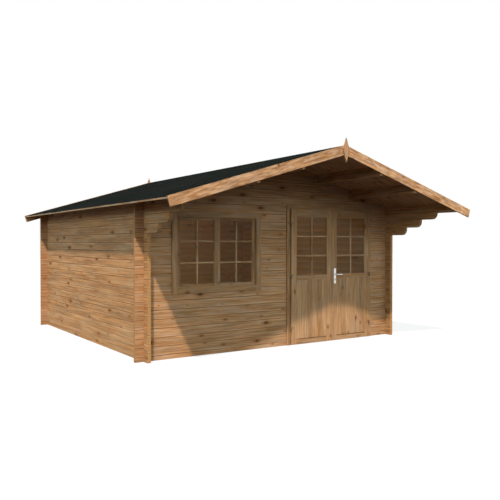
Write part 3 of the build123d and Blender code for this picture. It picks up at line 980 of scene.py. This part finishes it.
class CABIN_OT_roof_timber(bpy.types.Operator):
    """Purlins, V-jointed roof boards, eave strips, barge boards and finials"""

    bl_idname = "cabin.roof_timber"
    bl_label = "Roof timber"

    def execute(self, context):
        sizes, roof = context.scene.cabin_timber, context.scene.cabin_roof
        purlin_timber = timber_of_node(
            "purlin_timber", sizes.roof_colour, "Y", "Z", width=0.12, bare=sizes.inside_colour
        )
        coat(purlin_timber, "purlins")
        boarding = timber_of_boards("roof_boarding", sizes.roof_colour, bare=sizes.inside_colour)
        for side, name in SIDES:
            slope = Slope(f"{name}_roof_boards", side)
            low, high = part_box(f"{name}_roof_boards")
            count = round((high.y - low.y) / roof.board)
            step = (high.y - low.y) / count
            near, far = slope.span(slope.thickness * math.tan(slope.angle), slope.run)
            boards = Boards(100 if side < 0 else 300)
            for index in range(count):
                boards.add(
                    (near, low.y + index * step, -slope.thickness),
                    (far, low.y + (index + 1) * step, 0.0),
                    "X", roof.vee, slope.place(),
                )
            boards.finish(
                f"{name}_roof_boarding", boarding, "cabin", "roof_wood", f"{name}_roof_boards"
            )
            barge = timber_of_node(
                f"{name}_barge_timber", sizes.barge_colour, "X", "Z", pitch=-side * slope.angle,
                width=0.12, centre=slope.ridge * math.cos(slope.angle), spacing=0.42,
                seed=5.0 + side, figure=1.25, short=1.9,
            )
            coat(barge, f"{name}_barge_boards")
        low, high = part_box("eave_strips")
        strips = Boards(580)
        for side, name in SIDES:
            slope = Slope(f"{name}_roof_boards", side)
            near, far = slope.span(slope.run, slope.run + roof.strip)
            strips.add(
                (near, low.y, -roof.strip_drop), (far, high.y, 0.0), "Y", sizes.eased, slope.place()
            )
        eave_timber = timber_of_boards("eave_timber", sizes.eave_colour, spacing=0.9)
        strips.finish("eave_strip_boards", eave_timber, "cabin", "barge_wood", "eave_strips")
        coat(
            timber_of_node("finial_timber", sizes.finial_colour, "Z", "X", width=0.11, spacing=0.6),
            "finials",
        )
        return {"FINISHED"}


LAP_WIDTH = 0.10            # modelled part of a lap, up the slope from its lower edge
LAP_THINNING = 0.95         # share of its rise that a lap loses at its upper edge
NAIL_INSET = 0.02
EAVE_NAIL_INSET = 0.025
NAIL_PROUD = 0.0012
NAIL_SEAT = 0.8             # share of a lap's rise at which its nails' backs lie


class CABIN_OT_roof_felt(bpy.types.Operator):
    """Mineral felt in lapped strips, its ridge strip and clout nails"""

    bl_idname = "cabin.roof_felt"
    bl_label = "Roof felt"

    def execute(self, context):
        roof = context.scene.cabin_roof
        felt = felt_material(roof.felt_colour)
        coat(felt, "felt_sheets", "ridge_felt")
        low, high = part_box("felt_sheets")
        coating = context.scene.cabin_doors.steel
        steel = metal_material("clout_steel", coating, rough=0.35, scale=60.0)
        laps, nails = bmesh.new(), bmesh.new()
        for side in (-1, 1):
            slope = Slope("ridge_felt", side, upper=False)
            reach = high.x / math.cos(slope.angle)
            count = int(reach / roof.lap)
            for index in range(1, count + 1):
                lower = reach - index * roof.lap
                near, far = slope.span(lower - LAP_WIDTH, lower)
                lap = slab((near, low.y, 0.0), (far, high.y, roof.lap_rise))
                # The upper edge thins out, because there the strip lies flat on the boards.
                upper = [
                    v for v in lap.verts
                    if v.co.z > roof.lap_rise / 2 and abs(v.co.x) < abs(near + far) / 2
                ]
                bmesh.ops.translate(
                    lap, vec=(0.0, 0.0, -LAP_THINNING * roof.lap_rise), verts=upper
                )
                bmesh.ops.transform(lap, matrix=slope.place(), verts=lap.verts)
                join(laps, lap)
                self.nail_row(nails, slope, lower - NAIL_INSET, roof.lap_rise, low.y, high.y, roof)
            self.nail_row(nails, slope, reach - EAVE_NAIL_INSET, 0.0, low.y, high.y, roof)
        place_piece("felt_laps", laps, felt, "cabin")
        place_piece("clout_nails", nails, steel, "cabin")
        return {"FINISHED"}

    def nail_row(self, nails, slope, away, rise, y_low, y_high, roof):
        """A row of nail heads at one distance from the ridge."""
        count = round((y_high - y_low) / roof.nail_pitch)
        lean = (slope.side * math.sin(slope.angle), 0.0, math.cos(slope.angle))
        for index in range(count):
            y = y_low + (index + 0.5) * (y_high - y_low) / count
            centre = slope.place() @ Vector((slope.side * away, y, rise * NAIL_SEAT))
            disc(nails, centre, roof.nail, NAIL_PROUD, lean, segments=8)


FLOOR_FIT = 0.004           # boards nearer than this to the door frame's sides stop behind it
FLOOR_EASE = 0.002


class CABIN_OT_floor(bpy.types.Operator):
    """Floor boards on their joists"""

    bl_idname = "cabin.floor"
    bl_label = "Floor"

    def execute(self, context):
        sizes, roof = context.scene.cabin_timber, context.scene.cabin_roof
        low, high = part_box("floor_boards")
        door_low, door_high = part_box("door_frame")
        edge = door_high.y + (low.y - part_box("front_gable")[1].y)
        count = round((high.x - low.x) / roof.board)
        step = (high.x - low.x) / count
        boards = Boards(500)
        for index in range(count):
            left, right = low.x + index * step, low.x + (index + 1) * step
            beside = right < door_low.x - FLOOR_FIT or left > door_high.x + FLOOR_FIT
            boards.add(
                (left, low.y if beside else edge, low.z), (right, high.y, high.z), "Y", FLOOR_EASE
            )
        finish = timber_of_boards("floor_timber", sizes.floor_colour, spacing=0.6, figure=0.5)
        boards.finish("floor_planks", finish, "cabin", "floor_wood", "floor_boards")
        joist_timber = timber_of_node("joist_timber", sizes.floor_colour, "X", "Z", width=0.045)
        coat(joist_timber, "floor_joists")
        return {"FINISHED"}


# Arrises taken off small timber.
BEAD_EASE = 0.0025
BAR_EASE = 0.003
PANEL_EASE = 0.0005
FACING_EASE = 0.0025
MEETING_BEVEL = 0.003       # back of a meeting stile, so that leaves pass each other


def glaze(boards, low, high, glass_y, glass_half, lights):
    """Beads round a pane on both faces of the glass, and bars that part it into small lights."""
    for face in (-1, 1):
        near = glass_y + face * glass_half
        bead = sorted((near, near + face * lights.bead))
        bar = sorted((near, near + face * lights.bar_depth))
        boards.frame(
            bands(low.x, high.x, lights.bead), bands(low.z, high.z, lights.bead), bead, BEAD_EASE
        )
        uprights = [
            low.x + (high.x - low.x) * column / lights.columns
            for column in range(1, lights.columns)
        ]
        for x in uprights:
            boards.add(
                (x - lights.bar / 2, bar[0], low.z + lights.bead),
                (x + lights.bar / 2, bar[1], high.z - lights.bead), "Z", BAR_EASE,
            )
        starts = [low.x + lights.bead] + [x + lights.bar / 2 for x in uprights]
        stops = [x - lights.bar / 2 for x in uprights] + [high.x - lights.bead]
        for row in range(1, lights.rows):
            z = low.z + (high.z - low.z) * row / lights.rows
            for start, stop in zip(starts, stops):
                boards.add(
                    (start, bar[0], z - lights.bar / 2), (stop, bar[1], z + lights.bar / 2),
                    "X", BAR_EASE,
                )


class CABIN_OT_window(bpy.types.Operator):
    """Window frame, trim, two sashes, glazing bars and glass"""

    bl_idname = "cabin.window"
    bl_label = "Window"

    def execute(self, context):
        sizes, lights = context.scene.cabin_timber, context.scene.cabin_lights
        # The sashes take the darker colour that paints in the shade of their recess.
        sash_wood = joinery_timber("sash_timber", sizes.sash_shaded_colour)
        trim_wood = joinery_timber("window_trim_timber", sizes.trim_colour)
        bars_wood = timber_of_boards("glazing_timber", sizes.bar_colour, spacing=2.0)
        coat(
            timber_of_node("frame_timber", sizes.joinery_colour, "Z", "X", width=0.06, spacing=0.5),
            "window_frame", "door_frame",
        )
        coat(glass_material(lights.tint), "window_glass", "left_door_glass", "right_door_glass")

        glass_low, glass_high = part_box("window_glass")
        glass_y = (glass_low.y + glass_high.y) / 2
        glass_half = (glass_high.y - glass_low.y) / 2
        stile = glass_low.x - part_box("left_sash")[0].x
        bars = Boards(700)
        for name in ("left", "right"):
            low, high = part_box(f"{name}_sash")
            sash = Boards(620 if name == "left" else 640)
            rails = ((low.z, glass_low.z), (glass_high.z, high.z))
            sash.frame(bands(low.x, high.x, stile), rails, (low.y, high.y), sizes.eased)
            sash.finish(f"{name}_sash_joinery", sash_wood, "cabin", "joinery_wood", f"{name}_sash")
            pane_low = Vector((low.x + stile, glass_low.y, glass_low.z))
            pane_high = Vector((high.x - stile, glass_high.y, glass_high.z))
            glaze(bars, pane_low, pane_high, glass_y, glass_half, lights)
        bars.finish("window_bars", bars_wood, "cabin", "joinery_wood")

        low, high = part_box("window_trim")
        across, upward = levels("window_trim", "X"), levels("window_trim", "Z")
        trim = Boards(660)
        trim.frame(
            (across[:2], across[2:]), (upward[:2], upward[2:]), (low.y, high.y), sizes.eased,
            drip=sizes.drip,
        )
        trim.finish("window_surround", trim_wood, "cabin", "joinery_wood", "window_trim")
        return {"FINISHED"}


class CABIN_OT_doors(bpy.types.Operator):
    """Door trim and two framed leaves with glazed lights and boarded panels"""

    bl_idname = "cabin.doors"
    bl_label = "Doors"

    def execute(self, context):
        sizes, lights = context.scene.cabin_timber, context.scene.cabin_lights
        doors = context.scene.cabin_doors
        joinery = joinery_timber("door_joinery", sizes.joinery_colour)
        bars_wood = timber_of_boards("door_bar_timber", sizes.bar_colour, spacing=2.0)

        # The trim's inner edges are nearest to its middle, and its hinge notches lie further out.
        low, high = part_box("door_trim")
        middle, head = (low.x + high.x) / 2, levels("door_trim", "Z")[-2]
        inner = [side * min(abs(x - middle) for x in levels("door_trim", "X")) for side in (-1, 1)]
        surround = Boards(740)
        for left, right in ((low.x, middle + inner[0]), (middle + inner[1], high.x)):
            surround.add((left, low.y, low.z), (right, high.y, head), "Z", sizes.eased)
        surround.add((low.x, low.y, head), (high.x, high.y, high.z), "X", sizes.eased)
        surround.finish("door_surround", joinery, "cabin", "joinery_wood", "door_trim")

        for side, name in SIDES:
            low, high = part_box(f"{name}_door_leaf")
            glass_low, glass_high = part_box(f"{name}_door_glass")
            self.leaf(name, side, low, high, glass_low, glass_high, sizes, doors, joinery)
            bars = Boards(900 + 40 * side)
            middle = (glass_low.y + glass_high.y) / 2
            glaze(bars, glass_low, glass_high, middle, (glass_high.y - glass_low.y) / 2, lights)
            bars.finish(f"{name}_door_bars", bars_wood, f"{name}_door", "joinery_wood")
        return {"FINISHED"}

    def leaf(self, name, side, low, high, glass_low, glass_high, sizes, doors, joinery):
        """One leaf: stiles, three rails, a panel and facing boards on both faces."""
        upward = levels("left_door_leaf", "Z")
        middle = (low.y + high.y) / 2
        boards = Boards(800 + 40 * side)
        boards.frame(
            ((low.x, glass_low.x), (glass_high.x, high.x)),
            (upward[:2], upward[2:4], upward[4:]), (low.y, high.y), sizes.eased,
            cut_backs=(0.0, MEETING_BEVEL) if side < 0 else (-MEETING_BEVEL, 0.0),
        )
        panel_low, panel_high = upward[1:3]
        boards.add(
            (glass_low.x, middle - doors.core / 2, panel_low),
            (glass_high.x, middle + doors.core / 2, panel_high), "Z", PANEL_EASE,
        )
        step = (glass_high.x - glass_low.x) / doors.boards
        faces = (
            (low.y + doors.set_back, middle - doors.core / 2),
            (middle + doors.core / 2, high.y - doors.set_back),
        )
        for y_low, y_high in faces:
            for index in range(doors.boards):
                x = glass_low.x + index * step
                boards.add(
                    (x, y_low, panel_low + doors.foot_gap), (x + step, y_high, panel_high),
                    "Z", FACING_EASE,
                )
        boards.finish(
            f"{name}_door_joinery", joinery, f"{name}_door", "joinery_wood", f"{name}_door_leaf"
        )


# Small metal parts. Screws lie from a strap's tip and middle, and inward of a plate's ends.
SCREW_PROUD = 0.0011
HINGE_SCREWS = ((0.008, -0.008), (0.008, 0.008), (0.024, 0.0))
PLATE_SCREW = 0.0042
PLATE_SCREW_PROUD = 0.0012
PLATE_SCREW_INSET = 0.013
PLATE_CORNER = 0.3          # share of a plate's width
PLATE_RIM = 0.35            # share of its thickness
ROSE_PROUD = 0.005
# The key cylinder: a round barrel, and a web below it down to a smaller round foot.
KEY_RADIUS = 0.0085
KEY_PROUD = 0.003
KEY_FOOT_RADIUS = 0.005
KEY_FOOT_DROP = 0.016
KEY_WEB = Vector((0.0096, KEY_PROUD, 0.014))
KEY_WEB_DROP = 0.009
KEY_SLOT = Vector((0.0022, 0.0005, 0.0098))
KEY_SLOT_PROUD = 0.00305
NICKEL = (0.16, 0.15, 0.14)
SLOT_BLACK = (0.012, 0.012, 0.012)
NECK = 0.9                  # a lever's neck over its grip's height
# Each step out to a grip's end: share of its length, then change of its depth and height.
GRIP_STEPS = (
    (0.14, 0.88, 1.12), (0.22, 0.86, 1.10), (0.30, 0.96, 1.02), (0.24, 0.96, 0.94),
    (0.06, 0.86, 0.90), (0.03, 0.66, 0.74), (0.01, 0.40, 0.50),
)


class CABIN_OT_ironmongery(bpy.types.Operator):
    """Hinges, screws, lock plates, key cylinder and lever handles"""

    bl_idname = "cabin.ironmongery"
    bl_label = "Ironmongery"

    def execute(self, context):
        doors = context.scene.cabin_doors
        coated = metal_material("coated_steel", doors.steel, rough=0.42, scale=90.0, metallic=0.0)
        satin = metal_material("satin_metal", doors.satin, rough=0.26, scale=120.0)
        coat(coated, "left_door_hinges", "right_door_hinges", "door_hinge_pins")
        for side, name in SIDES:
            self.hinge_screws(name, side, doors, coated)
        self.lock(doors, satin)
        self.levers(doors, satin)
        return {"FINISHED"}

    def hinge_screws(self, name, side, doors, coated):
        """Three screw heads on each strap."""
        low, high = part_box(f"{name}_door_hinges")
        tip = low.x if side > 0 else high.x
        face = levels(f"{name}_door_hinges", "Y")[-2]
        ends = levels(f"{name}_door_hinges", "Z")
        screws = bmesh.new()
        for bottom, top in zip(ends[::2], ends[1::2]):
            for inward, rise in HINGE_SCREWS:
                centre = (tip + side * inward, face, (bottom + top) / 2 + rise)
                disc(screws, centre, doors.screw, SCREW_PROUD, (0, -1, 0), dome=0.25, socket=0.6)
        place_piece(f"{name}_hinge_screws", screws, coated, f"{name}_door")

    def lock(self, doors, satin):
        """Long plates with a collar, a key cylinder and two screws on both faces of the leaf."""
        low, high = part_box("lock_plates")
        middle = (low.x + high.x) / 2
        lever_low, lever_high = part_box("lever_handles")
        spindle = (lever_low.z + lever_high.z) / 2
        thick = levels("lock_plates", "Y")[1] - low.y
        key = spindle - doors.key_drop
        shape, barrels, slots = bmesh.new(), bmesh.new(), bmesh.new()
        for out, face in ((-1, low.y), (1, high.y)):
            near, far = sorted((face, face - out * thick))
            plate = slab((low.x, near, low.z), (high.x, far, high.z))
            corners = [
                edge for edge in plate.edges
                if abs(edge.verts[0].co.y - edge.verts[1].co.y) > thick / 2
            ]
            ease(plate, corners, (high.x - low.x) * PLATE_CORNER, segments=6)
            rim = [
                edge for edge in plate.edges
                if all(abs(vert.co.y - face) < thick / 4 for vert in edge.verts)
            ]
            ease(plate, rim, thick * PLATE_RIM, segments=2)
            join(shape, plate)
            axis = (0, out, 0)
            disc(shape, (middle, face, spindle), doors.rose, ROSE_PROUD, axis, 32, dome=0.15)
            disc(barrels, (middle, face, key), KEY_RADIUS, KEY_PROUD, axis, 24, dome=0.08)
            foot = (middle, face, key - KEY_FOOT_DROP)
            disc(barrels, foot, KEY_FOOT_RADIUS, KEY_PROUD, axis, 20, dome=0.08)
            web = (middle, face + out * KEY_PROUD / 2, key - KEY_WEB_DROP)
            add_block(barrels, web, KEY_WEB)
            add_block(slots, (middle, face + out * KEY_SLOT_PROUD, key), KEY_SLOT)
            for z in (low.z + PLATE_SCREW_INSET, high.z - PLATE_SCREW_INSET):
                centre = (middle, face, z)
                disc(shape, centre, PLATE_SCREW, PLATE_SCREW_PROUD, axis, 16, dome=0.3, socket=0.7)
        place_piece(
            "lock_furniture", shape, satin, "right_door", ["lock_plates"], True
        )
        nickel = metal_material("dark_nickel", NICKEL, rough=0.30, scale=60.0)
        place_piece("key_barrels", barrels, nickel, "right_door")
        dark = metal_material("slot_shadow", SLOT_BLACK, rough=0.5, scale=60.0, metallic=0.0)
        place_piece("key_slots", slots, dark, "right_door")

    def levers(self, doors, satin):
        """A lever on each face: a round neck, an elbow and an oval grip that thins to its end."""
        low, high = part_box("lever_handles")
        plate_low, plate_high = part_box("lock_plates")
        spindle_x = (plate_low.x + plate_high.x) / 2
        radius = (high.z - low.z) / 2
        spindle = (low.z + high.z) / 2
        grip = high.x - spindle_x - doors.elbow
        shape = bmesh.new()
        faces = ((-1, plate_low.y, low.y + radius), (1, plate_high.y, high.y - radius))
        for out, face, outer in faces:
            lever = bmesh.new()
            bmesh.ops.create_circle(lever, cap_ends=True, segments=20, radius=radius * NECK)
            upright = Matrix.Rotation(math.pi / 2, 3, "X")
            bmesh.ops.rotate(lever, verts=lever.verts, cent=(0, 0, 0), matrix=upright)
            bmesh.ops.translate(lever, verts=lever.verts, vec=(spindle_x, face, spindle))
            rim = lever.edges[:]
            rim = self.draw_out(lever, rim, (0.0, outer - out * doors.elbow - face, 0.0))
            made = bmesh.ops.spin(
                lever, geom=rim + list({vert for edge in rim for vert in edge.verts}),
                cent=(spindle_x + doors.elbow, outer - out * doors.elbow, spindle),
                axis=(0, 0, 1), angle=-out * math.pi / 2, steps=6, use_duplicate=False,
            )["geom_last"]
            rim = [part for part in made if isinstance(part, bmesh.types.BMEdge)]
            for share, flatter, taller in GRIP_STEPS:
                rim = self.draw_out(lever, rim, (grip * share, 0.0, 0.0), (1.0, flatter, taller))
            bmesh.ops.contextual_create(lever, geom=rim)
            bmesh.ops.recalc_face_normals(lever, faces=lever.faces)
            join(shape, lever)
        place_piece("levers", shape, satin, "door_lever", ["lever_handles"], True)

    def draw_out(self, shape, rim, move, scale=(1.0, 1.0, 1.0)):
        """Extrudes a rim of edges, and scales the new rim about its middle."""
        made = bmesh.ops.extrude_edge_only(shape, edges=rim)["geom"]
        verts = [part for part in made if isinstance(part, bmesh.types.BMVert)]
        bmesh.ops.translate(shape, verts=verts, vec=move)
        middle = sum((vert.co for vert in verts), Vector()) / len(verts)
        bmesh.ops.scale(shape, verts=verts, vec=scale, space=Matrix.Translation(-middle))
        return [part for part in made if isinstance(part, bmesh.types.BMEdge)
                and all(vert in verts for vert in part.verts)]


class CABIN_PT_panel(bpy.types.Panel):
    """Lists the cabin's operators and sizes"""

    bl_idname = "CABIN_PT_panel"
    bl_label = "Log Cabin"
    bl_space_type = "VIEW_3D"
    bl_region_type = "UI"
    bl_category = "Cabin"

    def draw(self, context):
        for operator in OPERATORS:
            self.layout.operator(operator.bl_idname)
        for name, group in GROUPS.items():
            box = self.layout.box()
            box.label(text=group.__doc__)
            for size in group.__annotations__:
                box.prop(getattr(context.scene, name), size)


OPERATORS = (
    CABIN_OT_stage,
    CABIN_OT_log_walls,
    CABIN_OT_roof_timber,
    CABIN_OT_roof_felt,
    CABIN_OT_floor,
    CABIN_OT_window,
    CABIN_OT_doors,
    CABIN_OT_ironmongery,
)


def register():
    for made in (*GROUPS.values(), *OPERATORS, CABIN_PT_panel):
        bpy.utils.register_class(made)
    for name, group in GROUPS.items():
        setattr(bpy.types.Scene, name, bpy.props.PointerProperty(type=group))


def unregister():
    for name in GROUPS:
        delattr(bpy.types.Scene, name)
    for made in (CABIN_PT_panel, *reversed(OPERATORS), *reversed(GROUPS.values())):
        bpy.utils.unregister_class(made)


def main():
    register()
    for operator in OPERATORS:
        group, name = operator.bl_idname.split(".")
        getattr(getattr(bpy.ops, group), name)()


if __name__ == "__main__":
    main()
